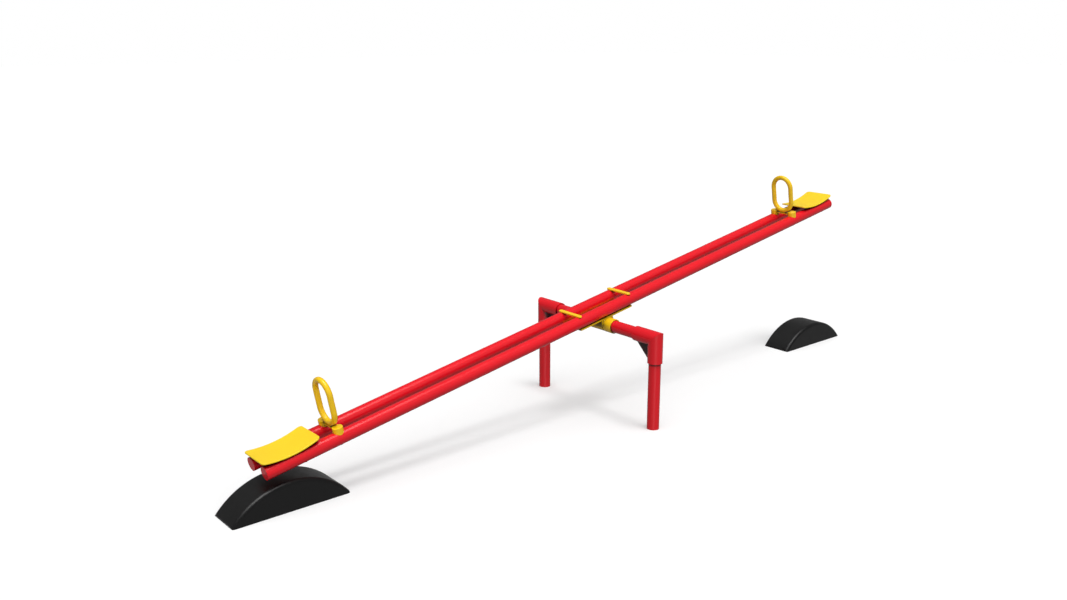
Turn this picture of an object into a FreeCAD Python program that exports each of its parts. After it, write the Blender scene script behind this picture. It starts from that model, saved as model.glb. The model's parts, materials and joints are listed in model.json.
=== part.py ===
import FreeCAD, Part
import math
import os
import Sketcher

# A two-seat playground seesaw.
#
# Row frame: +X runs along the beam towards end B, +Y to the left of someone looking along +X,
# +Z up. The origin is on the ground, straight below the middle of the pivot tube.
# End A (-X) is the low end and end B (+X) the high end of the resting pose.
#
# Everything that tilts is drawn in the beam's own frame, level, with its origin on the pivot
# axis, and gets one shared placement that lifts it to the pivot and tilts it.

SIZES = [
    # name, millimetres or degrees, what it is
    ("tube_diameter", 76.1, "outside of the legs, the pivot tube and the beam tubes"),
    ("tube_wall", 3.0, "wall of those tubes"),
    ("socket_diameter", 92.4, "outside of the elbow sockets, bearing collars and centring sleeve"),
    ("fit_gap", 0.05, "radial gap of a tube in a socket or a bush, and of a screw in its thread"),
    ("pivot_height", 574.0, "ground to the pivot axis"),
    ("leg_offset", 510.4, "pivot middle to the axis of a leg"),
    ("leg_length", 520.0, "ground to the top of a leg inside its elbow"),
    ("pivot_tube_length", 912.0, "end to end, inside the elbows"),
    ("elbow_reach", 160.0, "leg axis to the mouth of the horizontal socket"),
    ("elbow_drop", 150.0, "pivot axis to the mouth of the vertical socket"),
    ("gusset_width", 104.0, "side of the gusset along the pivot tube"),
    ("gusset_depth", 100.0, "side of the gusset along the leg"),
    ("gusset_plate", 8.0, "thickness"),
    ("grub_diameter", 10.0, "elbow set screws"),
    ("grub_length", 8.0, "flush with the socket"),
    ("grub_setback", 25.0, "socket mouth to the set screw"),
    ("grub_key", 5.0, "across the flats of the hexagon socket"),
    ("grub_key_depth", 4.0, "depth of the hexagon socket"),
    ("beam_tilt", 10.36, "slope of the beam in the resting pose, degrees"),
    ("beam_half_length", 2378.0, "pivot to the outside of an end plate"),
    ("beam_spacing", 150.4, "between the axes of the two beam tubes"),
    ("end_plate", 3.0, "thickness of the plates that close the beam tubes"),
    ("saddle_length", 450.0, "saddle plate along the beam"),
    ("saddle_width", 200.0, "saddle plate across the beam"),
    ("saddle_plate", 4.4, "thickness"),
    ("saddle_corner", 8.0, "corner radius"),
    ("rim_depth", 5.0, "stiffening rims hang below the edges of the saddle plate"),
    ("rim_thickness", 3.0, "thickness of the rims"),
    ("web_plate", 6.0, "thickness of the two upright webs"),
    ("web_width", 100.0, "webs along the beam"),
    ("web_bore", 82.0, "arch over the pivot tube"),
    ("foot_start", 32.0, "pivot to the near edge of a foot"),
    ("foot_end", 97.0, "pivot to the far edge of a foot"),
    ("foot_plate", 6.0, "thickness"),
    ("collar_length", 63.0, "along the pivot axis"),
    ("collar_bevel", 1.5, "bevel on the outer rim"),
    ("bush_wall", 1.9, "polymer bush"),
    ("bush_recess", 1.0, "bush end inside the collar end"),
    ("sleeve_gap", 1.0, "end float between the centring sleeve and each web"),
    ("clamp_offset", 212.0, "pivot to a clamp bar"),
    ("clamp_length", 200.0, "clamp bar across the beam"),
    ("clamp_width", 25.0, "clamp bar along the beam"),
    ("clamp_bar", 8.0, "thickness"),
    ("bar_edge", 1.2, "rounding on painted steel edges"),
    ("bolt_diameter", 8.0, "clamp bolts and seat screws"),
    ("bolt_hole", 9.0, "clearance hole for them"),
    ("bolt_grip", 5.5, "depth of thread in a clamp bar"),
    ("bolt_flats", 13.0, "hexagon head across its flats"),
    ("bolt_head", 5.3, "height of the hexagon head"),
    ("washer_diameter", 16.0, "clamp bolt washer"),
    ("washer_plate", 1.6, "thickness"),
    ("handle_offset", 1938.8, "pivot to a handle"),
    ("handle_tube", 32.6, "outside of the handle tube"),
    ("handle_wall", 2.6, "wall of the handle tube"),
    ("handle_width", 148.0, "handle ring between centre lines"),
    ("handle_height", 248.0, "handle ring between centre lines"),
    ("handle_vent", 5.0, "vent hole"),
    ("foot_diameter", 58.0, "round feet of the handle base"),
    ("foot_height", 64.8, "beam tube axis to the top of a round foot"),
    ("foot_edge", 3.0, "rounding of the top rim"),
    ("bridge_bottom", 44.0, "beam tube axis to the underside of the bridge"),
    ("bridge_plate", 7.0, "thickness of the bridge"),
    ("bridge_width", 25.0, "bridge along the beam"),
    ("handle_screw", 10.0, "screw diameter"),
    ("handle_screw_head", 16.0, "head diameter"),
    ("handle_screw_head_height", 10.0, "head height"),
    ("handle_screw_hole", 11.0, "clearance hole"),
    ("handle_screw_tip", 58.0, "beam tube axis to the tip of the screw"),
    ("thread_end", 1.0, "free thread beyond the tip of a screw"),
    ("seat_offset", 2222.0, "pivot to the middle of a seat"),
    ("seat_length", 334.0, "along the beam"),
    ("seat_width", 218.0, "across the beam"),
    ("seat_curve", 620.0, "radius of the underside, seen from the side"),
    ("seat_board", 9.0, "thickness"),
    ("seat_corner", 24.0, "corner radius in plan"),
    ("seat_edge", 3.5, "rounding of the rim"),
    ("boss_diameter", 30.0, "bosses under the seat"),
    ("boss_offset", 70.0, "middle of the seat to a boss"),
    ("boss_skirt", 3.0, "how far a boss reaches down the flanks of a beam tube"),
    ("seat_gap", 1.0, "lowest line of the seat above the beam tubes"),
    ("insert_diameter", 12.0, "threaded insert in the seat"),
    ("insert_length", 8.0, "threaded insert in the seat"),
    ("seat_screw_head", 13.0, "head diameter"),
    ("seat_screw_head_height", 8.0, "head height"),
    ("access_hole", 18.0, "hole for the screwdriver in the underside of a beam tube"),
    ("plug_rim", 22.0, "rim diameter of the plug that closes it"),
    ("plug_cap", 1.2, "thickness of the rim"),
    ("plug_stem", 7.0, "length of the stem inside the tube wall"),
    ("bumper_offset", 2224.7, "pivot to the middle of a bumper"),
    ("bumper_length", 664.0, "along the beam"),
    ("bumper_width", 215.7, "across the beam"),
    ("bumper_height", 164.0, "ground to the crown"),
    ("bumper_curve", 436.0, "radius of the crown, seen from the side"),
    ("bumper_edge", 21.5, "rounding of the long edges"),
    ("bumper_turn", 120.0, "turn of the rounded profile about the crown, before its ends are cut, degrees"),
]

END_A = -1
END_B = 1
LEFT = 1
RIGHT = -1
SIDES = {"left": LEFT, "right": RIGHT}
ENDS = {"a": END_A, "b": END_B}

os.makedirs("parts", exist_ok=True)
doc = FreeCAD.newDocument("seesaw")
sheet = doc.addObject("Spreadsheet::Sheet", "Sizes")
for row, (alias, value, meaning) in enumerate(SIZES, start=1):
    sheet.set("A%d" % row, str(value))
    sheet.setAlias("A%d" % row, alias)
    sheet.set("B%d" % row, meaning)
doc.recompute()


class Size:
    """A length that knows both its number and its formula in spreadsheet cells."""

    def __init__(self, number, formula):
        self.number = float(number)
        self.formula = formula

    def __add__(self, other):
        other = as_size(other)
        return Size(self.number + other.number, "(%s + %s)" % (self.formula, other.formula))

    def __sub__(self, other):
        other = as_size(other)
        return Size(self.number - other.number, "(%s - %s)" % (self.formula, other.formula))

    def __mul__(self, factor):
        return Size(self.number * factor, "(%s * %s)" % (self.formula, repr(factor)))

    __rmul__ = __mul__

    def __truediv__(self, factor):
        return Size(self.number / factor, "(%s / %s)" % (self.formula, repr(factor)))

    def __neg__(self):
        return self * -1


def as_size(value):
    if isinstance(value, Size):
        return value
    return Size(value, repr(float(value)))


def cell(alias):
    return Size(sheet.get(alias), "Sizes." + alias)


def chord_height(radius, half_chord):
    """Distance from a circle's centre to a chord of the given half length."""
    number = math.sqrt(radius.number ** 2 - half_chord.number ** 2)
    return Size(number, "sqrt((%s)^2 - (%s)^2)" % (radius.formula, half_chord.formula))


# Sizes that several pieces share.

ZERO = as_size(0.0)
tube_radius = cell("tube_diameter") / 2
tube_bore = tube_radius - cell("tube_wall")
socket_radius = cell("socket_diameter") / 2
beam_tube_y = cell("beam_spacing") / 2
saddle_underside = socket_radius
saddle_top = saddle_underside + cell("saddle_plate")
tube_axis = saddle_top + tube_radius
tube_top = tube_axis + tube_radius
tube_underside = tube_axis - tube_radius
web_outside = cell("saddle_width") / 2
web_inside = web_outside - cell("web_plate")


# Drawing helpers.

def bind(item, name, size):
    """Sets a property and ties it to the spreadsheet."""
    item.setExpression(name, size.formula)


def new_body(label, tilts):
    body = doc.addObject("PartDesign::Body", label)
    body.Label = label
    body.AllowCompound = True
    if tilts:
        axis_up_towards_b = FreeCAD.Vector(0, -1, 0)
        turn = FreeCAD.Rotation(axis_up_towards_b, cell("beam_tilt").number)
        body.Placement = FreeCAD.Placement(FreeCAD.Vector(0, 0, 0), turn)
        bind(body, "Placement.Rotation.Angle", cell("beam_tilt"))
        bind(body, "Placement.Base.z", cell("pivot_height"))
    return body


def new_sketch(body, role, offset=ZERO):
    """A sketch on one of the body's own planes, moved along the plane's normal by offset."""
    sketch = body.newObject("Sketcher::SketchObject", "outline")
    planes = [plane for plane in body.Origin.OriginFeatures if plane.Role == role]
    sketch.AttachmentSupport = (planes[0], [""])
    sketch.MapMode = "FlatFace"
    bind(sketch, "AttachmentOffset.Base.z", offset)
    return sketch


def bind_last(sketch, constraint, size):
    index = sketch.addConstraint(constraint)
    sketch.setExpression("Constraints[%d]" % index, size.formula)


def pin_x(sketch, shape, point, x):
    if x.number == 0:
        sketch.addConstraint(Sketcher.Constraint("PointOnObject", shape, point, -2))
    else:
        bind_last(sketch, Sketcher.Constraint("DistanceX", shape, point, x.number), x)


def pin_y(sketch, shape, point, y):
    if y.number == 0:
        sketch.addConstraint(Sketcher.Constraint("PointOnObject", shape, point, -1))
    else:
        bind_last(sketch, Sketcher.Constraint("DistanceY", shape, point, y.number), y)


CENTRE = 3
START = 1
FINISH = 2
RIGHTWARD = 1
LEFTWARD = -1


def add_circle(sketch, x, y, radius):
    centre = FreeCAD.Vector(x.number, y.number, 0)
    circle = Part.Circle(centre, FreeCAD.Vector(0, 0, 1), radius.number)
    shape = sketch.addGeometry(circle, False)
    pin_x(sketch, shape, CENTRE, x)
    pin_y(sketch, shape, CENTRE, y)
    bind_last(sketch, Sketcher.Constraint("Radius", shape, radius.number), radius)


def add_line(sketch, first, last):
    """A line between two (x, y) points, each pinned to its place."""
    ends = [FreeCAD.Vector(x.number, y.number, 0) for x, y in (first, last)]
    shape = sketch.addGeometry(Part.LineSegment(ends[0], ends[1]), False)
    for point, (x, y) in ((START, first), (FINISH, last)):
        pin_x(sketch, shape, point, x)
        pin_y(sketch, shape, point, y)
    return shape


def add_polygon(sketch, corners):
    for first, last in zip(corners, corners[1:] + corners[:1]):
        add_line(sketch, first, last)


def add_rectangle(sketch, x_low, x_high, y_low, y_high):
    corners = [(x_low, y_low), (x_high, y_low), (x_high, y_high), (x_low, y_high)]
    add_polygon(sketch, corners)


def add_arc(sketch, x, y, radius, first_x, last_x, above):
    """An arc about (x, y) between two x values: its upper part, or its lower part."""
    centre = FreeCAD.Vector(x.number, y.number, 0)
    circle = Part.Circle(centre, FreeCAD.Vector(0, 0, 1), radius.number)
    rise = 1 if above else -1
    angles = []
    for end_x in (first_x, last_x):
        across = (end_x - x).number / radius.number
        angles.append(rise * math.acos(max(-1.0, min(1.0, across))))
    arc = Part.ArcOfCircle(circle, min(angles), max(angles))
    shape = sketch.addGeometry(arc, False)
    ends = (first_x, last_x) if angles[0] < angles[1] else (last_x, first_x)
    pin_x(sketch, shape, CENTRE, x)
    pin_y(sketch, shape, CENTRE, y)
    bind_last(sketch, Sketcher.Constraint("Radius", shape, radius.number), radius)
    if abs(abs((first_x - x).number) - radius.number) < 1e-9:
        pin_y(sketch, shape, START, y)
        pin_y(sketch, shape, FINISH, y)
    else:
        pin_x(sketch, shape, START, ends[0])
        pin_x(sketch, shape, FINISH, ends[1])
    return shape


def add_quarter_round(sketch, x, y, radius, direction):
    """A quarter circle about (x, y), from straight above it to straight beside it."""
    centre = FreeCAD.Vector(x.number, y.number, 0)
    circle = Part.Circle(centre, FreeCAD.Vector(0, 0, 1), radius.number)
    start, finish = (0.0, math.pi / 2) if direction == RIGHTWARD else (math.pi / 2, math.pi)
    shape = sketch.addGeometry(Part.ArcOfCircle(circle, start, finish), False)
    beside, above = (START, FINISH) if direction == RIGHTWARD else (FINISH, START)
    pin_x(sketch, shape, CENTRE, x)
    pin_y(sketch, shape, CENTRE, y)
    pin_x(sketch, shape, beside, x + direction * radius)
    pin_y(sketch, shape, beside, y)
    pin_x(sketch, shape, above, x)
    return shape


def add_hexagon(sketch, x, y, across_flats):
    reach = across_flats / math.sqrt(3)
    corners = []
    for turn in range(6):
        angle = math.radians(60 * turn)
        corners.append((x + reach * math.cos(angle), y + reach * math.sin(angle)))
    add_polygon(sketch, corners)


def pad(body, sketch, length, symmetric=False):
    feature = body.newObject("PartDesign::Pad", "pad")
    feature.Profile = sketch
    bind(feature, "Length", length)
    if symmetric:
        feature.SideType = "Symmetric"
    body.Tip = feature
    doc.recompute()
    return feature


def pocket(body, sketch, length=None, along_normal=False, symmetric=False):
    """Cuts against the sketch's normal, or along it; right through where no length is given."""
    feature = body.newObject("PartDesign::Pocket", "pocket")
    feature.Profile = sketch
    feature.Reversed = along_normal
    if length is None:
        feature.Type = "ThroughAll"
    else:
        bind(feature, "Length", length)
    if symmetric:
        feature.SideType = "Symmetric"
    body.Tip = feature
    doc.recompute()
    return feature


def revolve(body, sketch, half_width, height, angle):
    """Turns a sketch equally both ways about a level line at the given height of the sketch."""
    axis = add_line(sketch, (-half_width, height), (half_width, height))
    sketch.toggleConstruction(axis)
    doc.recompute()
    feature = body.newObject("PartDesign::Revolution", "revolution")
    feature.Profile = sketch
    feature.ReferenceAxis = (sketch, ["Axis0"])
    feature.Midplane = True
    bind(feature, "Angle", angle)
    body.Tip = feature
    doc.recompute()
    return feature


def sweep(body, kind, section, path):
    """Sweeps a section along a path, with a mitre at each sharp corner."""
    doc.recompute()
    feature = body.newObject("PartDesign::" + kind, "sweep")
    feature.Profile = section
    feature.Spine = path
    feature.Transition = "Right corner"
    body.Tip = feature
    doc.recompute()
    return feature


def dress(body, kind, size_name, size, wanted):
    """A fillet or chamfer on the edges that wanted() picks from the body's shape."""
    base = body.Tip
    names = []
    for number, edge in enumerate(base.Shape.Edges, start=1):
        if wanted(edge):
            names.append("Edge%d" % number)
    feature = body.newObject("PartDesign::" + kind, kind.lower())
    feature.Base = (base, names)
    bind(feature, size_name, size)
    body.Tip = feature
    doc.recompute()
    return feature


def near(value, target):
    return abs(value - target) < 0.01


def is_upright(edge):
    """True for an edge whose ends are straight above each other in the body's own frame."""
    points = [vertex.Point for vertex in edge.Vertexes]
    return len(points) == 2 and near(points[0].x, points[1].x) and near(points[0].y, points[1].y)


def lies_at_z(edge, height):
    """True for an edge whose every end and middle is at one height of the body's own frame."""
    middle = edge.valueAt((edge.FirstParameter + edge.LastParameter) / 2)
    points = [vertex.Point for vertex in edge.Vertexes] + [middle]
    return all(near(point.z, height.number) for point in points)


# The stand: two legs, the pivot tube, the elbows that join them and the ground bumpers.

def make_leg(label, side):
    body = new_body(label, tilts=False)
    sketch = new_sketch(body, "XY_Plane")
    add_circle(sketch, ZERO, side * cell("leg_offset"), tube_radius)
    add_circle(sketch, ZERO, side * cell("leg_offset"), tube_bore)
    pad(body, sketch, cell("leg_length"))


def make_pivot_tube():
    body = new_body("pivot_tube", tilts=False)
    sketch = new_sketch(body, "XZ_Plane")
    add_circle(sketch, ZERO, cell("pivot_height"), tube_radius)
    add_circle(sketch, ZERO, cell("pivot_height"), tube_bore)
    pad(body, sketch, cell("pivot_tube_length"), symmetric=True)


def grub_screw_places():
    """(y, z) of each elbow set screw: one in each socket of each elbow."""
    across = cell("leg_offset") - cell("elbow_reach") + cell("grub_setback")
    height = cell("pivot_height") - cell("elbow_drop") + cell("grub_setback")
    places = []
    for side in (LEFT, RIGHT):
        places.append((side * across, cell("pivot_height")))
        places.append((side * cell("leg_offset"), height))
    return places


def make_elbow(label, side):
    """A mitred elbow whose two sockets take the pivot tube and a leg."""
    body = new_body(label, tilts=False)
    mouth_y = side * (cell("leg_offset") - cell("elbow_reach"))
    leg_y = side * cell("leg_offset")
    path = new_sketch(body, "YZ_Plane")
    foot = (leg_y, cell("pivot_height") - cell("elbow_drop"))
    corner = (leg_y, cell("pivot_height"))
    mouth = (mouth_y, cell("pivot_height"))
    add_line(path, mouth, corner)
    add_line(path, corner, foot)
    ring = new_sketch(body, "XZ_Plane", -mouth_y)
    add_circle(ring, ZERO, cell("pivot_height"), socket_radius)
    add_circle(ring, ZERO, cell("pivot_height"), tube_radius + cell("fit_gap"))
    sweep(body, "AdditivePipe", ring, path)
    threads = new_sketch(body, "YZ_Plane")
    for y, z in grub_screw_places():
        if y.number * side > 0:
            add_circle(threads, y, z, cell("grub_diameter") / 2 + cell("fit_gap"))
    pocket(body, threads, along_normal=True)


def make_gusset(label, side):
    """A triangular plate in the inside corner of an elbow."""
    body = new_body(label, tilts=False)
    sketch = new_sketch(body, "YZ_Plane")
    inner_y = cell("leg_offset") - socket_radius
    top = cell("pivot_height") - socket_radius
    corner = (side * inner_y, top)
    along_tube = (side * (inner_y - cell("gusset_width")), top)
    down_leg = (side * inner_y, top - cell("gusset_depth"))
    add_polygon(sketch, [corner, along_tube, down_leg])
    pad(body, sketch, cell("gusset_plate"), symmetric=True)


def make_elbow_set_screws():
    body = new_body("elbow_set_screws", tilts=False)
    sketch = new_sketch(body, "YZ_Plane", tube_radius)
    for y, z in grub_screw_places():
        add_circle(sketch, y, z, cell("grub_diameter") / 2)
    pad(body, sketch, cell("grub_length"))
    sockets = new_sketch(body, "YZ_Plane", tube_radius + cell("grub_length"))
    for y, z in grub_screw_places():
        add_hexagon(sockets, y, z, cell("grub_key"))
    pocket(body, sockets, cell("grub_key_depth"))


def make_centring_sleeve():
    """A painted sleeve fixed on the pivot tube, which keeps the beam in the middle."""
    body = new_body("centring_sleeve", tilts=False)
    sketch = new_sketch(body, "XZ_Plane")
    running_gap = cell("sleeve_gap")
    add_circle(sketch, ZERO, cell("pivot_height"), socket_radius - running_gap)
    add_circle(sketch, ZERO, cell("pivot_height"), tube_radius)
    pad(body, sketch, 2 * (web_inside - running_gap), symmetric=True)


def make_bumper(label, end):
    """A rubber block with a curved crown that the beam lands on."""
    body = new_body(label, tilts=False)
    middle = end * cell("bumper_offset")
    half_width = cell("bumper_width") / 2
    crown = cell("bumper_height")
    axis_height = crown - cell("bumper_curve")
    edge = cell("bumper_edge")
    across = new_sketch(body, "YZ_Plane", middle)
    add_line(across, (-half_width, ZERO), (half_width, ZERO))
    add_line(across, (half_width, ZERO), (half_width, crown - edge))
    add_quarter_round(across, half_width - edge, crown - edge, edge, RIGHTWARD)
    add_line(across, (half_width - edge, crown), (edge - half_width, crown))
    add_quarter_round(across, edge - half_width, crown - edge, edge, LEFTWARD)
    add_line(across, (-half_width, crown - edge), (-half_width, ZERO))
    revolve(body, across, half_width, axis_height, cell("bumper_turn"))
    half_length = cell("bumper_length") / 2
    low, high = middle - half_length, middle + half_length
    left_of_all = middle - cell("bumper_curve")
    right_of_all = middle + cell("bumper_curve")
    around = new_sketch(body, "XZ_Plane")
    add_polygon(around, [
        (left_of_all, crown), (low, crown), (low, ZERO), (high, ZERO), (high, crown),
        (right_of_all, crown), (right_of_all, axis_height), (left_of_all, axis_height),
    ])
    pocket(body, around, 2 * cell("bumper_width"), symmetric=True)


# The beam: two tubes with their end plates.

def both_tubes(distances):
    """(x, y) places on both beam tubes at the given distances on each side of the pivot."""
    places = []
    for distance in distances:
        for end in (END_A, END_B):
            for side in (LEFT, RIGHT):
                places.append((end * distance, side * beam_tube_y))
    return places


def seat_screw_distances():
    return [cell("seat_offset") - cell("boss_offset"), cell("seat_offset") + cell("boss_offset")]


def make_beam_tube(label, side):
    body = new_body(label, tilts=True)
    y = side * beam_tube_y
    sketch = new_sketch(body, "YZ_Plane")
    add_circle(sketch, y, tube_axis, tube_radius)
    add_circle(sketch, y, tube_axis, tube_bore)
    pad(body, sketch, 2 * (cell("beam_half_length") - cell("end_plate")), symmetric=True)
    top_holes = new_sketch(body, "XY_Plane", tube_axis)
    access_holes = new_sketch(body, "XY_Plane", tube_axis)
    for end in (END_A, END_B):
        clamp_x = end * cell("clamp_offset")
        handle_x = end * cell("handle_offset")
        add_circle(top_holes, clamp_x, y, cell("bolt_hole") / 2)
        add_circle(access_holes, clamp_x, y, cell("bolt_hole") / 2)
        add_circle(top_holes, handle_x, y, cell("handle_screw_hole") / 2)
        add_circle(access_holes, handle_x, y, cell("access_hole") / 2)
        for distance in seat_screw_distances():
            add_circle(top_holes, end * distance, y, cell("bolt_hole") / 2)
            add_circle(access_holes, end * distance, y, cell("access_hole") / 2)
    pocket(body, top_holes, along_normal=True)
    pocket(body, access_holes)


def make_tube_end_plates():
    body = new_body("tube_end_plates", tilts=True)
    inner = cell("beam_half_length") - cell("end_plate")
    for start in (-cell("beam_half_length"), inner):
        sketch = new_sketch(body, "YZ_Plane", start)
        for side in (LEFT, RIGHT):
            add_circle(sketch, side * beam_tube_y, tube_axis, tube_radius)
        pad(body, sketch, cell("end_plate"))


# The pivot bracket under the tubes: saddle plate, feet, webs, bearing collars and bushes.

def make_saddle_plate():
    body = new_body("saddle_plate", tilts=True)
    sketch = new_sketch(body, "XY_Plane", saddle_underside)
    half_length = cell("saddle_length") / 2
    half_width = cell("saddle_width") / 2
    add_rectangle(sketch, -half_length, half_length, -half_width, half_width)
    for x, y in both_tubes([cell("clamp_offset")]):
        add_circle(sketch, x, y, cell("bolt_hole") / 2)
    pad(body, sketch, cell("saddle_plate"))

    def is_corner(edge):
        return is_upright(edge) and near(abs(edge.Vertexes[0].X), half_length.number)

    dress(body, "Fillet", "Radius", cell("saddle_corner"), is_corner)


def make_saddle_rim(label, end):
    """A flat strip on edge, bent to a U and set under the edges of one half of the saddle plate."""
    body = new_body(label, tilts=True)
    sketch = new_sketch(body, "XY_Plane", saddle_underside - cell("rim_depth"))
    start = end * cell("web_width") / 2
    outer_x = end * cell("saddle_length") / 2
    inner_x = outer_x - end * cell("rim_thickness")
    outer_y = cell("saddle_width") / 2
    inner_y = outer_y - cell("rim_thickness")
    slant = cell("saddle_corner") - cell("rim_thickness")
    slant_x = inner_x - end * slant
    slant_y = inner_y - slant
    add_polygon(sketch, [(start, -outer_y), (outer_x, -outer_y), (outer_x, outer_y), (start, outer_y),
                         (start, inner_y), (slant_x, inner_y), (inner_x, slant_y),
                         (inner_x, -slant_y), (slant_x, -inner_y), (start, -inner_y)])
    pad(body, sketch, cell("rim_depth"))

    def is_outer_corner(edge):
        return is_upright(edge) and near(edge.Vertexes[0].X, outer_x.number)

    dress(body, "Fillet", "Radius", cell("saddle_corner"), is_outer_corner)


def make_saddle_foot(label, end):
    """A doubler that stiffens the saddle plate on one side of the pivot tube."""
    body = new_body(label, tilts=True)
    sketch = new_sketch(body, "XY_Plane", saddle_underside - cell("foot_plate"))
    near_x, far_x = end * cell("foot_start"), end * cell("foot_end")
    low, high = (near_x, far_x) if end > 0 else (far_x, near_x)
    add_rectangle(sketch, low, high, -web_inside, web_inside)
    pad(body, sketch, cell("foot_plate"))


def sketch_facing_right(body, high_y):
    """A sketch in the XZ plane at high_y, whose pads run towards -Y."""
    return new_sketch(body, "XZ_Plane", -high_y)


def make_saddle_web(label, side):
    """An upright plate with an arch over the pivot tube."""
    body = new_body(label, tilts=True)
    sketch = sketch_facing_right(body, web_outside if side == LEFT else -web_inside)
    half_width = cell("web_width") / 2
    arch = cell("web_bore") / 2
    add_line(sketch, (-half_width, ZERO), (-arch, ZERO))
    add_arc(sketch, ZERO, ZERO, arch, -arch, arch, above=True)
    add_line(sketch, (arch, ZERO), (half_width, ZERO))
    add_line(sketch, (half_width, ZERO), (half_width, saddle_underside))
    add_line(sketch, (half_width, saddle_underside), (-half_width, saddle_underside))
    add_line(sketch, (-half_width, saddle_underside), (-half_width, ZERO))
    pad(body, sketch, cell("web_plate"))


def make_bearing_collar(label, side):
    body = new_body(label, tilts=True)
    outer_y = web_outside + cell("collar_length")
    sketch = sketch_facing_right(body, outer_y if side == LEFT else -web_outside)
    add_circle(sketch, ZERO, ZERO, socket_radius)
    add_circle(sketch, ZERO, ZERO, tube_radius + cell("fit_gap") + cell("bush_wall"))
    pad(body, sketch, cell("collar_length"))

    def outer_rim(edge):
        round_edge = hasattr(edge.Curve, "Radius") and near(edge.Curve.Radius, socket_radius.number)
        return round_edge and near(edge.Curve.Center.y, side * outer_y.number)

    dress(body, "Chamfer", "Size", cell("collar_bevel"), outer_rim)


def make_pivot_bush(label, side):
    """A polymer bush pressed into a collar; the pivot tube runs in it."""
    body = new_body(label, tilts=True)
    length = cell("collar_length") - 2 * cell("bush_recess")
    inner_y = web_outside + cell("bush_recess")
    sketch = sketch_facing_right(body, inner_y + length if side == LEFT else -inner_y)
    bore = tube_radius + cell("fit_gap")
    add_circle(sketch, ZERO, ZERO, bore + cell("bush_wall"))
    add_circle(sketch, ZERO, ZERO, bore)
    pad(body, sketch, length)


# The clamps that hold the tubes down on the saddle plate.

def make_clamp_bar(label, end):
    body = new_body(label, tilts=True)
    sketch = new_sketch(body, "XY_Plane", tube_top)
    x = end * cell("clamp_offset")
    radius = cell("clamp_width") / 2
    reach = cell("clamp_length") / 2 - radius
    add_line(sketch, (x - radius, -reach), (x - radius, reach))
    add_line(sketch, (x + radius, -reach), (x + radius, reach))
    add_arc(sketch, x, reach, radius, x - radius, x + radius, above=True)
    add_arc(sketch, x, -reach, radius, x - radius, x + radius, above=False)
    pad(body, sketch, cell("clamp_bar"))
    bar_top = tube_top + cell("clamp_bar")
    dress(body, "Fillet", "Radius", cell("bar_edge"), lambda edge: lies_at_z(edge, bar_top))
    threads = new_sketch(body, "XY_Plane", tube_top)
    for side in (LEFT, RIGHT):
        add_circle(threads, x, side * beam_tube_y, cell("bolt_diameter") / 2 + cell("fit_gap"))
    pocket(body, threads, cell("bolt_grip") + cell("thread_end"), along_normal=True)


def make_clamp_bolts():
    body = new_body("clamp_bolts", tilts=True)
    head_top = saddle_underside - cell("washer_plate")
    heads = new_sketch(body, "XY_Plane", head_top - cell("bolt_head"))
    shanks = new_sketch(body, "XY_Plane", head_top)
    for x, y in both_tubes([cell("clamp_offset")]):
        add_hexagon(heads, x, y, cell("bolt_flats"))
        add_circle(shanks, x, y, cell("bolt_diameter") / 2)
    pad(body, heads, cell("bolt_head"))
    pad(body, shanks, tube_top + cell("bolt_grip") - head_top)


def make_clamp_washers():
    body = new_body("clamp_washers", tilts=True)
    sketch = new_sketch(body, "XY_Plane", saddle_underside - cell("washer_plate"))
    for x, y in both_tubes([cell("clamp_offset")]):
        add_circle(sketch, x, y, cell("washer_diameter") / 2)
        add_circle(sketch, x, y, cell("bolt_hole") / 2)
    pad(body, sketch, cell("washer_plate"))


# The handles: an oval ring welded on a base with two round feet.

def make_handle_ring(label, end):
    body = new_body(label, tilts=True)
    x = end * cell("handle_offset")
    radius = cell("handle_width") / 2
    ring_bottom = tube_axis + cell("bridge_bottom") + cell("bridge_plate") + cell("handle_tube") / 2
    low = ring_bottom + radius
    high = ring_bottom + cell("handle_height") - radius
    path = new_sketch(body, "YZ_Plane", x)
    add_line(path, (radius, low), (radius, high))
    add_arc(path, ZERO, high, radius, -radius, radius, above=True)
    add_line(path, (-radius, high), (-radius, low))
    add_arc(path, ZERO, low, radius, -radius, radius, above=False)
    tube_radii = {
        "AdditivePipe": cell("handle_tube") / 2,
        "SubtractivePipe": cell("handle_tube") / 2 - cell("handle_wall"),
    }
    for kind, tube in tube_radii.items():
        section = new_sketch(body, "XY_Plane", (low + high) / 2)
        add_circle(section, x, radius, tube)
        sweep(body, kind, section, path)
    vent = new_sketch(body, "XY_Plane", ring_bottom)
    add_circle(vent, x, ZERO, cell("handle_vent") / 2)
    pocket(body, vent)


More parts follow.
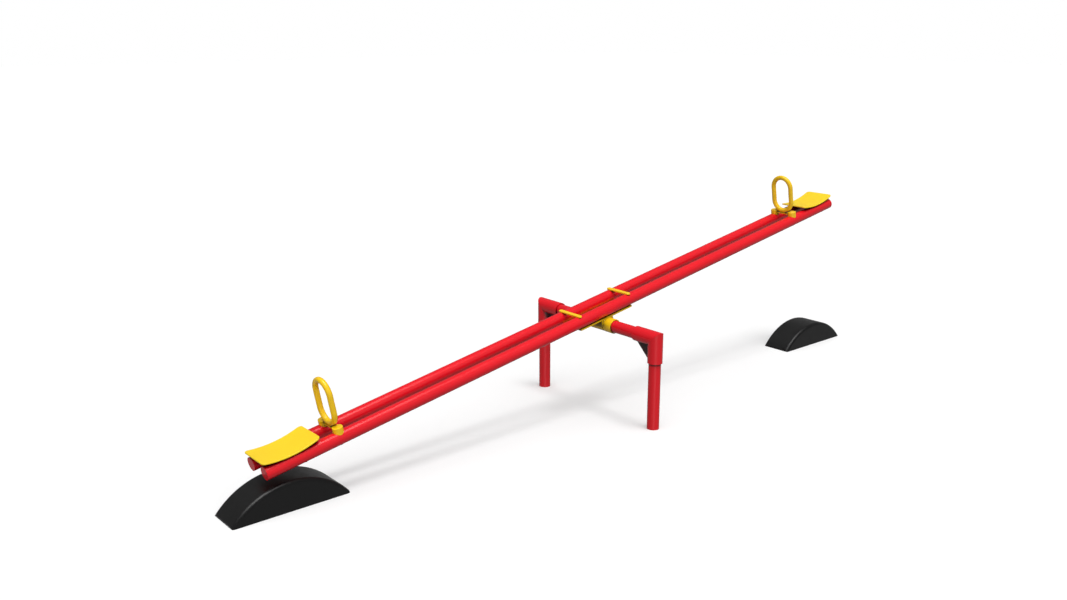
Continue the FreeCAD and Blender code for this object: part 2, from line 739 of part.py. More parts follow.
def make_handle_base(label, end):
    """Two round feet that straddle the beam tubes, with a flat bridge between them."""
    body = new_body(label, tilts=True)
    x = end * cell("handle_offset")
    feet = new_sketch(body, "XY_Plane", tube_axis)
    for side in (LEFT, RIGHT):
        add_circle(feet, x, side * beam_tube_y, cell("foot_diameter") / 2)
    pad(body, feet, cell("foot_height"))
    foot_top = tube_axis + cell("foot_height")
    dress(body, "Fillet", "Radius", cell("foot_edge"), lambda edge: lies_at_z(edge, foot_top))
    seats = new_sketch(body, "YZ_Plane", x)
    for side in (LEFT, RIGHT):
        add_circle(seats, side * beam_tube_y, tube_axis, tube_radius)
    pocket(body, seats, 2 * cell("foot_diameter"), symmetric=True)
    bridge = new_sketch(body, "XY_Plane", tube_axis + cell("bridge_bottom"))
    half_width = cell("bridge_width") / 2
    inside_foot = beam_tube_y - cell("foot_diameter") / 4
    add_rectangle(bridge, x - half_width, x + half_width, -inside_foot, inside_foot)
    pad(body, bridge, cell("bridge_plate"))
    threads = new_sketch(body, "XY_Plane", tube_axis)
    for side in (LEFT, RIGHT):
        thread_radius = cell("handle_screw") / 2 + cell("fit_gap")
        add_circle(threads, x, side * beam_tube_y, thread_radius)
    add_circle(threads, x, ZERO, cell("handle_vent") / 2)
    pocket(body, threads, cell("handle_screw_tip") + cell("thread_end"), along_normal=True)


def screw_seat(head_diameter):
    """Height of a screw head's top, where its rim meets the bore of a beam tube."""
    return tube_axis + chord_height(tube_bore, head_diameter / 2) - cell("fit_gap")


def make_hidden_screws(label, places, diameter, head_diameter, head_height, tip):
    """Screws whose heads sit inside the beam tubes and whose shanks point up."""
    body = new_body(label, tilts=True)
    head_top = screw_seat(head_diameter)
    heads = new_sketch(body, "XY_Plane", head_top - head_height)
    shanks = new_sketch(body, "XY_Plane", head_top)
    keys = new_sketch(body, "XY_Plane", head_top - head_height)
    for x, y in places:
        add_circle(heads, x, y, head_diameter / 2)
        add_circle(shanks, x, y, diameter / 2)
        add_hexagon(keys, x, y, head_diameter / 2)
    pad(body, heads, head_height)
    pad(body, shanks, tip - head_top)
    pocket(body, keys, head_height / 2, along_normal=True)


def make_access_plugs(label, places):
    """Push-in plugs that close the screwdriver holes; their rims follow the tube."""
    body = new_body(label, tilts=True)
    rim_bottom = tube_underside - cell("plug_cap")
    stem_top = tube_underside + cell("plug_stem")
    rims = new_sketch(body, "XY_Plane", rim_bottom)
    stems = new_sketch(body, "XY_Plane", rim_bottom)
    for x, y in places:
        add_circle(rims, x, y, cell("plug_rim") / 2)
        add_circle(stems, x, y, cell("access_hole") / 2)
    pad(body, rims, cell("plug_stem") / 2)
    hollow = new_sketch(body, "YZ_Plane")
    for side in (LEFT, RIGHT):
        add_circle(hollow, side * beam_tube_y, tube_axis, tube_radius)
    pocket(body, hollow, 2 * cell("beam_half_length"), symmetric=True)
    pad(body, stems, stem_top - rim_bottom)


# The seats.

def make_seat(label, end):
    """A curved board with rounded corners and four bosses that stand on the beam tubes."""
    body = new_body(label, tilts=True)
    x = end * cell("seat_offset")
    low, high = x - cell("seat_length") / 2, x + cell("seat_length") / 2
    curve = cell("seat_curve")
    inner_curve = curve - cell("seat_board")
    centre = tube_top + cell("seat_gap") + curve
    drop = chord_height(curve, cell("seat_length") / 2)
    inner_drop = chord_height(inner_curve, cell("seat_length") / 2)
    side_view = new_sketch(body, "XZ_Plane")
    add_arc(side_view, x, centre, curve, low, high, above=False)
    add_arc(side_view, x, centre, inner_curve, low, high, above=False)
    add_line(side_view, (low, centre - drop), (low, centre - inner_drop))
    add_line(side_view, (high, centre - drop), (high, centre - inner_drop))
    pad(body, side_view, cell("seat_width"), symmetric=True)
    dress(body, "Fillet", "Radius", cell("seat_corner"), is_upright)
    dress(body, "Fillet", "Radius", cell("seat_edge"), lambda edge: not is_upright(edge))
    bosses = new_sketch(body, "XY_Plane", tube_top - cell("boss_skirt"))
    for x_place, y_place in seat_screw_places(end):
        add_circle(bosses, x_place, y_place, cell("boss_diameter") / 2)
    pad(body, bosses, cell("boss_skirt") + cell("seat_board"))
    saddles = new_sketch(body, "YZ_Plane", x)
    for side in (LEFT, RIGHT):
        add_circle(saddles, side * beam_tube_y, tube_axis, tube_radius)
    pocket(body, saddles, cell("seat_length"), symmetric=True)
    sockets = new_sketch(body, "XY_Plane", tube_top - cell("boss_skirt"))
    for x_place, y_place in seat_screw_places(end):
        add_circle(sockets, x_place, y_place, cell("insert_diameter") / 2)
    pocket(body, sockets, cell("boss_skirt") + cell("insert_length"), along_normal=True)


def seat_screw_places(end):
    places = []
    for distance in seat_screw_distances():
        for side in (LEFT, RIGHT):
            places.append((end * distance, side * beam_tube_y))
    return places


def make_seat_inserts():
    body = new_body("seat_inserts", tilts=True)
    sketch = new_sketch(body, "XY_Plane", tube_top)
    for x, y in both_tubes(seat_screw_distances()):
        add_circle(sketch, x, y, cell("insert_diameter") / 2)
        add_circle(sketch, x, y, cell("bolt_diameter") / 2 + cell("fit_gap"))
    pad(body, sketch, cell("insert_length"))


for name, side in SIDES.items():
    make_leg(name + "_leg", side)
    make_elbow(name + "_elbow", side)
    make_gusset(name + "_gusset", side)
    make_beam_tube(name + "_beam_tube", side)
    make_saddle_web(name + "_saddle_web", side)
    make_bearing_collar(name + "_bearing_collar", side)
    make_pivot_bush(name + "_pivot_bush", side)
for name, end in ENDS.items():
    make_bumper("bumper_" + name, end)
    make_saddle_rim("saddle_rim_" + name, end)
    make_saddle_foot("saddle_foot_" + name, end)
    make_clamp_bar("clamp_bar_" + name, end)
    make_handle_ring("handle_ring_" + name, end)
    make_handle_base("handle_base_" + name, end)
    make_seat("seat_" + name, end)
make_pivot_tube()
make_elbow_set_screws()
make_centring_sleeve()
make_tube_end_plates()
make_saddle_plate()
make_clamp_bolts()
make_clamp_washers()
make_seat_inserts()

handle_places = both_tubes([cell("handle_offset")])
seat_places = both_tubes(seat_screw_distances())
make_hidden_screws("handle_screws", handle_places, cell("handle_screw"), cell("handle_screw_head"),
                   cell("handle_screw_head_height"), tube_axis + cell("handle_screw_tip"))
make_hidden_screws("seat_screws", seat_places, cell("bolt_diameter"), cell("seat_screw_head"),
                   cell("seat_screw_head_height"),
                   tube_top + cell("insert_length") - cell("thread_end"))
make_access_plugs("handle_access_plugs", handle_places)
make_access_plugs("seat_access_plugs", seat_places)


# Checks, then the files.

doc.recompute()
for item in doc.Objects:
    if "Invalid" in item.State or "Error" in item.State:
        raise RuntimeError("%s failed: %s" % (item.Label, item.State))

CUTS = ("PartDesign::Pocket", "PartDesign::Groove", "PartDesign::Fillet", "PartDesign::Chamfer")
bodies = [item for item in doc.Objects if item.TypeId == "PartDesign::Body"]
for body in bodies:
    if body.Shape.isNull() or not body.Shape.isValid():
        raise RuntimeError(body.Label + " has no valid shape")
    for feature in body.Group:
        if feature.TypeId in CUTS:
            removed = feature.BaseFeature.Shape.Volume - feature.Shape.Volume
            if removed <= 0:
                raise RuntimeError("%s in %s removes nothing" % (feature.Name, body.Label))
    body.Shape.exportStep("parts/%s.step" % body.Label)
    print("%-24s %2d solid(s) %12.1f mm3" % (body.Label, len(body.Shape.Solids), body.Shape.Volume))
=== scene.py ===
import json
import math

import bmesh
import bpy
from mathutils import Euler, Matrix, Vector


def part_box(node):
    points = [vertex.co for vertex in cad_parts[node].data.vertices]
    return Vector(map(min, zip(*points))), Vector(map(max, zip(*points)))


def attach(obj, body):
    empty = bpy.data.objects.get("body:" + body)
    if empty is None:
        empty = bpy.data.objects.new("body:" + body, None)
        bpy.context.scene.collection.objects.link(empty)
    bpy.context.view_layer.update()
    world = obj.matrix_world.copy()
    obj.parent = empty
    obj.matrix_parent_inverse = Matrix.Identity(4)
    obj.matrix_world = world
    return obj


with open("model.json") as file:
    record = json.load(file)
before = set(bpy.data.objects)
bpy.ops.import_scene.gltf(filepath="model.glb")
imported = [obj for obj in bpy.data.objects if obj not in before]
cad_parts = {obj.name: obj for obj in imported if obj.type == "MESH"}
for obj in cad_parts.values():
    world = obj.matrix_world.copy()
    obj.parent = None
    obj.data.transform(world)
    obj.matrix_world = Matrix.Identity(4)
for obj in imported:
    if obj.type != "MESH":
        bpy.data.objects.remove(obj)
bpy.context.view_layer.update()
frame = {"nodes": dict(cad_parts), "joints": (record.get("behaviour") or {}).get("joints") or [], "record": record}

# A playground seesaw in a white studio. Metres, in the frame of the CAD model: the origin is on
# the ground below the middle of the pivot tube, +X runs along the beam and +Y along the pivot tube.

NODES = frame["nodes"]
PIVOT = Vector(frame["joints"][0]["pos_m"])
MM = 0.001

# Beam frame: the beam lies level in it, its origin is on the pivot axis.
BEAM_TILT = math.radians(10.36)
FROM_BEAM = Matrix.Translation(PIVOT) @ Matrix.Rotation(-BEAM_TILT, 4, "Y")

# Studio light arriving from a direction: a constant, plus what leans to one side of the dome and
# overhead, plus a rise towards straight up and straight down, never less than the last value.
GLOW_CONSTANT = -0.13
GLOW_LEAN = (-0.46, -0.90, 0.905)
GLOW_RISE = 0.60
GLOW_LEAST = 0.058

# What glossy surfaces mirror: a plain grey dome with a round, bright light almost overhead, and a
# paler floor with a wide panel low in front.
MIRRORED_DOME = 0.22
MIRRORED_KEY = 4.6
MIRRORED_KEY_DIRECTION = (-0.15, -0.10, 0.984)
MIRRORED_KEY_EDGE = (math.cos(math.radians(28)), math.cos(math.radians(20)))
MIRRORED_FLOOR = 0.33
MIRRORED_PANEL = 0.6
MIRRORED_PANEL_DIRECTION = (-0.545, -0.795, -0.266)
MIRRORED_PANEL_EDGE = (0.93, 1.0)

SUN_STRENGTH = 0.92
SUN_ANGLE = math.radians(16)
SUN_TILT = Euler((math.radians(12), math.radians(4), 0))

FLOOR_PAINT = 0.70       # how much of the light the floor returns to the camera, shadows included
FLOOR_LIFT = 0.27        # what is added to that, so that the open floor is white
FLOOR_HALF = 60.0

CAMERA_PLACE = (-4.4196, -4.6185, 2.4165)
CAMERA_PITCH = math.radians(-14.95)
CAMERA_YAW = math.radians(-40.095)
CAMERA_LENS = 35.09      # in millimetres, on a sensor as wide as the next value
CAMERA_SENSOR = 36.0

# Painted shade: corners and gaps are painted darker, where neighbours would shadow them.
CORNER_SHADE_REACH = 0.07      # how far away a neighbour can be and still darken a surface
LOOK_UP = 0.8            # how much more a neighbour overhead counts than one at the side
SIDE_OPENNESS = (0.55, 0.87)     # where a side or underside counts as closed, and where as open
TOP_OPENNESS = (0.2, 0.60)       # the same for a surface that faces up
TOP_FACING = 0.6                 # the upward share of a normal from which it counts as facing up


# Shader nodes.

class Nodes:
    """Short helpers for wiring one shader node into the next."""

    def __init__(self, tree):
        self.tree = tree

    def node(self, kind, inputs, **settings):
        node = self.tree.nodes.new("ShaderNode" + kind)
        for name, value in settings.items():
            setattr(node, name, value)
        for name, value in inputs.items():
            self.feed(node.inputs[name], value)
        return node

    def feed(self, socket, value):
        if isinstance(value, bpy.types.NodeSocket):
            self.tree.links.new(value, socket)
        else:
            socket.default_value = value

    def math(self, operation, first, second):
        return self.node("Math", {0: first, 1: second}, operation=operation).outputs[0]

    def remap(self, value, low, high, new_low, new_high):
        """Carries low to high over to new_low to new_high, with soft ends, and goes no further."""
        inputs = {
            "Value": value,
            "From Min": low,
            "From Max": high,
            "To Min": new_low,
            "To Max": new_high,
        }
        return self.node("MapRange", inputs, interpolation_type="SMOOTHSTEP").outputs["Result"]

    def dot(self, first, second):
        node = self.node("VectorMath", {0: first, 1: second}, operation="DOT_PRODUCT")
        return node.outputs["Value"]

    def upward(self, direction):
        """The upward part of a direction."""
        return self.node("SeparateXYZ", {0: direction}).outputs["Z"]

    def studio_glow(self, direction):
        """Strength of the studio light that arrives from a direction."""
        height = self.upward(direction)
        rise = self.math("MULTIPLY", self.math("MULTIPLY", height, height), GLOW_RISE)
        lean = self.math("ADD", self.dot(direction, GLOW_LEAN), GLOW_CONSTANT)
        return self.math("MAXIMUM", self.math("ADD", lean, rise), GLOW_LEAST)

    def camera_sees(self, seen, otherwise):
        """One shader for the camera's own rays and another for reflections and bounced light."""
        ray = self.tree.nodes.new("ShaderNodeLightPath")
        inputs = {0: ray.outputs["Is Camera Ray"], 1: otherwise, 2: seen}
        return self.node("MixShader", inputs).outputs[0]

    def paint_mirrors(self, mirrored, otherwise):
        """One strength for what glossy surfaces mirror and another for the light they receive."""
        ray = self.tree.nodes.new("ShaderNodeLightPath")
        inputs = {"Value": ray.outputs["Is Glossy Ray"], "To Min": otherwise, "To Max": mirrored}
        return self.node("MapRange", inputs).outputs["Result"]


class Material(Nodes):
    """A procedural material whose patterns are laid out in the CAD model's own metres."""

    def __init__(self, name):
        self.data = bpy.data.materials.new(name)
        self.data.use_nodes = True
        super().__init__(self.data.node_tree)
        self.shader = self.tree.nodes["Principled BSDF"]
        self.output = self.tree.nodes["Material Output"]
        self.place = self.tree.nodes.new("ShaderNodeTexCoord").outputs["Object"]
        self.geometry = self.tree.nodes.new("ShaderNodeNewGeometry")

    def set(self, name, value):
        self.feed(self.shader.inputs[name], value)

    def noise(self, per_metre, detail=2.0, roughness=0.5):
        """Smooth noise from 0 to 1 with this many features to the metre."""
        inputs = {
            "Vector": self.place,
            "Scale": per_metre,
            "Detail": detail,
            "Roughness": roughness,
        }
        return self.node("TexNoise", inputs).outputs["Fac"]

    def cells(self, per_metre):
        """Distance to the middle of the nearest of scattered cells."""
        inputs = {"Vector": self.place, "Scale": per_metre}
        return self.node("TexVoronoi", inputs, feature="F1").outputs["Distance"]

    def mix(self, share, first, second):
        """A colour between two colours."""
        node = self.tree.nodes.new("ShaderNodeMix")
        node.data_type = "RGBA"
        self.feed(node.inputs["Factor"], share)
        for name, colour in (("A", first), ("B", second)):
            is_socket = isinstance(colour, bpy.types.NodeSocket)
            self.feed(node.inputs[name], colour if is_socket else (*colour, 1))
        return node.outputs["Result"]

    def bump(self, height, depth, normal):
        """A normal disturbed by a height from 0 to 1, where 1 stands depth metres proud."""
        inputs = {"Height": height, "Distance": depth, "Strength": 1.0, "Normal": normal}
        return self.node("Bump", inputs).outputs["Normal"]

    def rounded_edges(self, radius):
        return self.node("Bevel", {"Radius": radius}, samples=4).outputs["Normal"]

    def edge_share(self, radius):
        """1 along sharp edges, falling to 0 within radius of them."""
        sameness = self.dot(self.rounded_edges(radius), self.geometry.outputs["Normal"])
        return self.remap(sameness, 0.99, 0.85, 0.0, 1.0)

    def unshaded_share(self):
        """0 deep in corners and gaps, 1 in the open: where shade is painted into the colour.
        What hangs above a surface closes it most, and the ground closes nothing."""
        normal = self.geometry.outputs["Normal"]
        inputs = {0: normal, 1: (0, 0, LOOK_UP)}
        lifted = self.node("VectorMath", inputs, operation="ADD").outputs[0]
        lifted = self.node("VectorMath", {0: lifted}, operation="NORMALIZE").outputs[0]
        inputs = {"Distance": CORNER_SHADE_REACH, "Normal": lifted}
        gap = self.node("AmbientOcclusion", inputs, samples=16).outputs["AO"]
        clear_of_itself = self.remap(self.dot(normal, lifted), -1.0, 1.0, 0.0, 1.0)
        openness = self.math("DIVIDE", gap, clear_of_itself)
        facing_up = self.upward(normal)
        closed = self.remap(facing_up, 0.0, TOP_FACING, SIDE_OPENNESS[0], TOP_OPENNESS[0])
        clear = self.remap(facing_up, 0.0, TOP_FACING, SIDE_OPENNESS[1], TOP_OPENNESS[1])
        height = self.upward(self.place)
        near_ground = self.remap(height, CORNER_SHADE_REACH, 2.0 * CORNER_SHADE_REACH, 1.0, 0.0)
        return self.math("MAXIMUM", self.remap(openness, closed, clear, 0.0, 1.0), near_ground)


def shade(colour, factor):
    return tuple(channel * factor for channel in colour)


def powder_coat(name, colour, roughness, corner=0.08):
    """Powder-coated steel: fine orange peel, thin paint on softened edges, smudged gloss, and painted shade in
    corners and gaps.
    """
    m = Material(name)
    drift = m.remap(m.noise(2.5), 0.3, 0.7, 0.0, 1.0)
    base = m.mix(drift, shade(colour, 0.98), shade(colour, 1.02))
    speck = m.remap(m.noise(180.0, detail=3.0), 0.62, 0.7, 0.0, 0.03)
    base = m.mix(speck, base, shade(colour, 0.6))
    thin = m.math("MULTIPLY", m.edge_share(1.2 * MM), 0.06)
    base = m.mix(thin, base, shade(colour, 0.55))
    # Painted shade: deep in corners and gaps the colour falls to corner times itself.
    m.set("Base Color", m.mix(m.unshaded_share(), shade(colour, corner), base))
    smudge = m.remap(m.noise(9.0, detail=5.0, roughness=0.65), 0.35, 0.7, 0.0, 1.0)
    m.set("Roughness", m.remap(smudge, 0.0, 1.0, roughness - 0.01, roughness + 0.03))
    m.set("Normal", m.bump(m.noise(330.0, detail=1.0), 0.0015 * MM, m.rounded_edges(1.5 * MM)))
    return m.data


def moulded_plastic(name, colour, roughness, grain, corner=0.12):
    """Moulded plastic: a fine eroded grain, faint scuffs, a hint of light inside, and painted shade in corners and
    gaps.
    """
    m = Material(name)
    drift = m.remap(m.noise(4.0), 0.3, 0.7, 0.0, 1.0)
    base = m.mix(drift, shade(colour, 0.97), shade(colour, 1.02))
    scuff = m.remap(m.noise(45.0, detail=6.0, roughness=0.7), 0.6, 0.72, 0.0, 1.0)
    base = m.mix(m.math("MULTIPLY", scuff, 0.06), base, shade(colour, 0.82))
    # Painted shade: deep in corners and gaps the colour falls to corner times itself.
    m.set("Base Color", m.mix(m.unshaded_share(), shade(colour, corner), base))
    m.set("Roughness", m.remap(scuff, 0.0, 1.0, roughness, roughness + 0.12))
    skin = m.bump(m.noise(1400.0), grain, m.rounded_edges(1.0 * MM))
    m.set("Normal", m.bump(scuff, 0.01 * MM, skin))
    m.set("Subsurface Weight", 0.06)
    m.set("Subsurface Radius", (0.004, 0.002, 0.0005))
    return m.data


def moulded_rubber(name, colour):
    """Moulded rubber crumb: granules just showing through a satin skin, dust in the hollows."""
    m = Material(name)
    tint = m.remap(m.noise(260.0), 0.35, 0.65, 0.0, 1.0)
    dusty = m.remap(m.noise(14.0, detail=5.0, roughness=0.6), 0.45, 0.75, 0.0, 0.35)
    base = m.mix(tint, shade(colour, 0.75), shade(colour, 1.25))
    m.set("Base Color", m.mix(dusty, base, shade(colour, 1.6)))
    m.set("Specular IOR Level", 0.42)
    m.set("Roughness", m.remap(m.noise(30.0, detail=4.0), 0.3, 0.7, 0.31, 0.39))
    dome = m.remap(m.cells(320.0), 0.0, 0.7, 1.0, 0.0)
    m.set("Normal", m.bump(dome, 0.006 * MM, m.rounded_edges(6.0 * MM)))
    return m.data


def plain_metal(name, colour, roughness):
    """Bare or plated metal with fine turning marks and patchy shine."""
    m = Material(name)
    patch = m.remap(m.noise(60.0, detail=4.0), 0.3, 0.7, 0.0, 1.0)
    m.set("Base Color", m.mix(patch, shade(colour, 0.86), shade(colour, 1.05)))
    m.set("Metallic", 1.0)
    m.set("Roughness", m.remap(patch, 0.0, 1.0, roughness + 0.08, roughness))
    m.set("Normal", m.bump(m.noise(2500.0), 0.01 * MM, m.rounded_edges(0.4 * MM)))
    return m.data


def make_materials():
    red = (0.80, 0.006, 0.016)
    yellow = (1.0, 0.63, 0.010)
    seat_yellow = (1.0, 0.69, 0.016)
    graphite = (0.044, 0.010, 0.010)
    return {
        # corner: how dark the painted shade in corners and gaps gets, as a share of the colour.
        "red_paint": powder_coat("red_paint", red, 0.22),
        "yellow_paint": powder_coat("yellow_paint", yellow, 0.22, corner=0.22),
        "graphite_paint": powder_coat("graphite_paint", graphite, 0.38, corner=0.5),
        "yellow_plastic": moulded_plastic("yellow_plastic", seat_yellow, 0.36, 0.006 * MM),
        "red_plastic": moulded_plastic("red_plastic", red, 0.34, 0.006 * MM),
        "bush_plastic": moulded_plastic("bush_plastic", (0.62, 0.60, 0.54), 0.45, 0.006 * MM),
        "rubber": moulded_rubber("rubber", (0.0044, 0.0044, 0.0045)),
        "zinc_steel": plain_metal("zinc_steel", (0.66, 0.67, 0.69), 0.28),
        "brass": plain_metal("brass", (0.78, 0.56, 0.25), 0.3),
    }


def dress_nodes(materials):
    """Every CAD node takes the material of its slot in the record."""
    for entry in frame["record"]["subparts"]:
        node = NODES[entry["node"]]
        for slot in node.material_slots:
            slot.material = materials[entry["material_slot"]]


def link(name, data):
    item = bpy.data.objects.new(name, data)
    bpy.context.scene.collection.objects.link(item)
    return item


# Weld beads.

BEAD_SIDES = 8
BEAD_STEP = 1.3 * MM         # along the seam
BEAD_RIPPLE_LENGTH = 5.2 * MM
BEAD_RIPPLE_SHARE = 0.12     # how much of the bead's radius the ripples take
SADDLE_BEAD = 2.4 * MM       # radius of the bead, here and below
GUSSET_BEAD = 2.2 * MM
RING_BEAD = 2.4 * MM
FOOT_BEAD = 2.0 * MM

# The bead round a handle ring's stem: a slot with round ends, just proud of the bridge.
STEM_HALF_WIDTH = 8.0 * MM
STEM_HALF_LENGTH = 13.0 * MM
STEM_RISE = 0.8 * MM
FOOT_SEAM = 24               # degrees either way that the bridge covers on a round foot


def along(start, end):
    """Evenly spaced points from start to end."""
    start, end = Vector(start), Vector(end)
    count = max(2, round((end - start).length / BEAD_STEP))
    return [start.lerp(end, step / count) for step in range(count + 1)]


def arc(centre, towards, aside, radius, first, last):
    """Points on a circle about centre; the angle runs from towards to aside, in degrees."""
    centre, towards, aside = Vector(centre), Vector(towards), Vector(aside)
    count = max(4, round(radius * math.radians(abs(last - first)) / BEAD_STEP))
    points = []
    for step in range(count + 1):
        angle = math.radians(first + (last - first) * step / count)
        points.append(centre + radius * (math.cos(angle) * towards + math.sin(angle) * aside))
    return points


def add_bead(mesh, points, plane_normal, radius, closed=False):
    """A rippled bead of weld along points that lie in one plane."""
    plane_normal = Vector(plane_normal).normalized()
    if closed:
        points = points[:-1]
    count = len(points)
    rings = []
    for index, point in enumerate(points):
        before = points[index - 1] if closed or index > 0 else point
        after = points[(index + 1) % count] if closed or index < count - 1 else point
        side = (after - before).normalized().cross(plane_normal)
        phase = 2 * math.pi * index * BEAD_STEP / BEAD_RIPPLE_LENGTH
        size = radius * (1 + BEAD_RIPPLE_SHARE * math.cos(phase))
        ring = []
        for corner in range(BEAD_SIDES):
            angle = 2 * math.pi * corner / BEAD_SIDES
            offset = size * (math.cos(angle) * side + math.sin(angle) * plane_normal)
            ring.append(mesh.verts.new(point + offset))
        rings.append(ring)
    pairs = list(zip(rings, rings[1:] + rings[:1] if closed else rings[1:]))
    for first, second in pairs:
        for corner in range(BEAD_SIDES):
            following = (corner + 1) % BEAD_SIDES
            mesh.faces.new((first[corner], first[following], second[following], second[corner]))
    if not closed:
        for end, inner in ((0, 1), (-1, -2)):
            outward = (points[end] - points[inner]).normalized()
            tip = mesh.verts.new(points[end] + outward * radius / 2)
            ring = rings[end]
            for corner in range(BEAD_SIDES):
                mesh.faces.new((ring[corner], ring[(corner + 1) % BEAD_SIDES], tip))


def finish_welds(name, mesh, body, slot_name, materials, place=None):
    """Turns the beads in a bmesh into one piece that rides on a body."""
    if place is not None:
        bmesh.ops.transform(mesh, matrix=place, verts=mesh.verts)
    bmesh.ops.recalc_face_normals(mesh, faces=mesh.faces)
    for face in mesh.faces:
        face.smooth = True
    data = bpy.data.meshes.new(name)
    mesh.to_mesh(data)
    mesh.free()
    data.materials.append(materials[slot_name])
    piece = link(name, data)
    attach(piece, body)


def box_in_beam(node):
    """Lowest and highest corner of a node, seen level in the beam frame."""
    to_beam = FROM_BEAM.inverted()
    corners = [to_beam @ vertex.co for vertex in NODES[node].data.vertices]
    low = Vector([min(corner[axis] for corner in corners) for axis in range(3)])
    high = Vector([max(corner[axis] for corner in corners) for axis in range(3)])
    return low, high


def weld_gusset(side_name, side, materials):
    """Fillets along both faces of a gusset, under the pivot tube and down the leg."""
    low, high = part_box(side_name + "_gusset")
    corner_y = side * max(side * low[1], side * high[1])
    tip_y = side * min(side * low[1], side * high[1])
    mesh = bmesh.new()
    for x in (low[0], high[0]):
        corner = (x, corner_y, high[2])
        add_bead(mesh, along(corner, (x, tip_y, high[2])), (1, 0, 0), GUSSET_BEAD)
        add_bead(mesh, along(corner, (x, corner_y, low[2])), (1, 0, 0), GUSSET_BEAD)
    finish_welds(side_name + "_gusset_welds", mesh, "stand", "graphite_paint", materials)


def weld_saddle(materials):
    """Collars to webs, and webs and feet to the underside of the saddle plate."""
    mesh = bmesh.new()
    underside = box_in_beam("saddle_plate")[0].z
    foot_low, foot_high = box_in_beam("saddle_foot_b")
    for side_name, side in (("left", 1), ("right", -1)):
        web_low, web_high = box_in_beam(side_name + "_saddle_web")
        radius = box_in_beam(side_name + "_bearing_collar")[1].x
        outer_y = side * max(side * web_low.y, side * web_high.y)
        inner_y = side * min(side * web_low.y, side * web_high.y)
        seam = arc((0, outer_y, 0), (1, 0, 0), (0, 0, 1), radius, 0, 180)
        add_bead(mesh, seam, (0, 1, 0), SADDLE_BEAD)
        between_feet = along((-foot_low.x, inner_y, underside), (foot_low.x, inner_y, underside))
        add_bead(mesh, between_feet, (0, 0, 1), SADDLE_BEAD)
    for x in (-foot_high.x, foot_high.x):
        edge = along((x, foot_low.y, underside), (x, foot_high.y, underside))
        add_bead(mesh, edge, (0, 0, 1), SADDLE_BEAD)
    finish_welds("saddle_welds", mesh, "beam", "yellow_paint", materials, FROM_BEAM)


def weld_handle(end_name, materials):
    """The ring to its bridge, and the bridge to the two round feet."""
    ring_low, ring_high = box_in_beam("handle_ring_" + end_name)
    base_low, base_high = box_in_beam("handle_base_" + end_name)
    middle = (ring_low.x + ring_high.x) / 2
    bridge_top = ring_low.z
    height = bridge_top + STEM_RISE
    mesh = bmesh.new()
    loop = [Vector((middle + STEM_HALF_WIDTH, STEM_HALF_LENGTH, height))]
    for side in (1, -1):
        y = side * STEM_HALF_LENGTH
        far_x = middle - side * STEM_HALF_WIDTH
        loop += arc((middle, y, height), (side, 0, 0), (0, side, 0), STEM_HALF_WIDTH, 0, 180)[1:]
        loop += along((far_x, y, height), (far_x, -y, height))[1:]
    add_bead(mesh, loop, (0, 0, 1), RING_BEAD, closed=True)
    foot_radius = (base_high.x - base_low.x) / 2
    foot_y = base_high.y - foot_radius
    for side in (1, -1):
        centre = (middle, side * foot_y, bridge_top)
        seam = arc(centre, (0, -side, 0), (1, 0, 0), foot_radius, -FOOT_SEAM, FOOT_SEAM)
        add_bead(mesh, seam, (0, 0, 1), FOOT_BEAD)
    finish_welds("handle_welds_" + end_name, mesh, "beam", "yellow_paint", materials, FROM_BEAM)


# Studio.

def make_world():
    """The studio dome, and a plain white backdrop to the camera."""
    world = bpy.data.worlds.new("studio")
    bpy.context.scene.world = world
    world.use_nodes = True
    w = Nodes(world.node_tree)
    dome = w.tree.nodes["Background"]
    direction = w.tree.nodes.new("ShaderNodeTexCoord").outputs["Generated"]
    white = (1, 1, 1, 1)
    w.feed(dome.inputs["Color"], white)
    towards_key = w.dot(direction, MIRRORED_KEY_DIRECTION)
    key = w.remap(towards_key, *MIRRORED_KEY_EDGE, 0.0, MIRRORED_KEY)
    mirrored = w.math("ADD", key, MIRRORED_DOME)
    w.feed(dome.inputs["Strength"], w.paint_mirrors(mirrored, w.studio_glow(direction)))
    backdrop = w.node("Background", {"Color": white})
    surface = w.camera_sees(backdrop.outputs[0], dome.outputs[0])
    w.feed(w.tree.nodes["World Output"].inputs["Surface"], surface)
    world.cycles.sampling_method = "NONE"


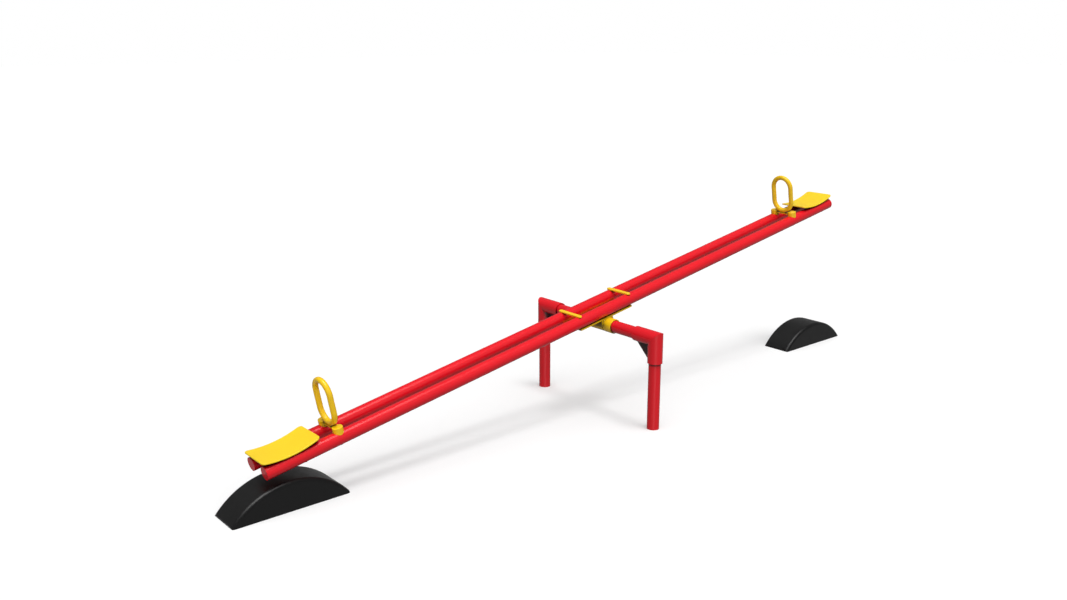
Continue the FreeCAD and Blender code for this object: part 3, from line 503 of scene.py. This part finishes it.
def make_key_light():
    """A soft sun, nearly overhead, leaning a little over the right side."""
    sun = bpy.data.lights.new("key", "SUN")
    sun.energy = SUN_STRENGTH
    sun.angle = SUN_ANGLE
    key = link("key", sun)
    key.rotation_euler = SUN_TILT
    key.visible_glossy = False


def make_floor():
    """Plain ground: white with soft shadows to the camera, the lower half of the dome otherwise."""
    mesh = bpy.data.meshes.new("floor")
    turns = ((-1, -1), (1, -1), (1, 1), (-1, 1))
    corners = [(x * FLOOR_HALF, y * FLOOR_HALF, 0) for x, y in turns]
    mesh.from_pydata(corners, [], [(0, 1, 2, 3)])
    floor = link("floor", mesh)
    m = Material("floor")
    m.tree.nodes.remove(m.shader)
    paint = m.node("BsdfDiffuse", {"Color": (FLOOR_PAINT, FLOOR_PAINT, FLOOR_PAINT, 1)})
    lift = m.node("Emission", {"Strength": FLOOR_LIFT})
    seen = m.node("AddShader", {0: paint.outputs[0], 1: lift.outputs[0]})
    towards_viewer = m.geometry.outputs["Incoming"]
    inputs = {0: towards_viewer, "Scale": -1.0}
    downward = m.node("VectorMath", inputs, operation="SCALE").outputs[0]
    towards_panel = m.dot(downward, MIRRORED_PANEL_DIRECTION)
    panel = m.remap(towards_panel, *MIRRORED_PANEL_EDGE, 0.0, MIRRORED_PANEL)
    mirrored = m.math("ADD", panel, MIRRORED_FLOOR)
    dome = m.node("Emission", {"Strength": m.paint_mirrors(mirrored, m.studio_glow(downward))})
    m.feed(m.output.inputs["Surface"], m.camera_sees(seen.outputs[0], dome.outputs[0]))
    mesh.materials.append(m.data)


def make_camera():
    """Three-quarter view from the low end, above eye height."""
    lens = bpy.data.cameras.new("camera")
    lens.lens = CAMERA_LENS
    lens.sensor_width = CAMERA_SENSOR
    camera = link("camera", lens)
    camera.location = CAMERA_PLACE
    camera.rotation_euler = Euler((math.radians(90) + CAMERA_PITCH, 0, CAMERA_YAW))
    bpy.context.scene.camera = camera


bpy.context.scene.view_settings.view_transform = "Standard"
materials = make_materials()
dress_nodes(materials)
for side_name, side in (("left", 1), ("right", -1)):
    weld_gusset(side_name, side, materials)
weld_saddle(materials)
for end_name in ("a", "b"):
    weld_handle(end_name, materials)
make_world()
make_key_light()
make_floor()
make_camera()
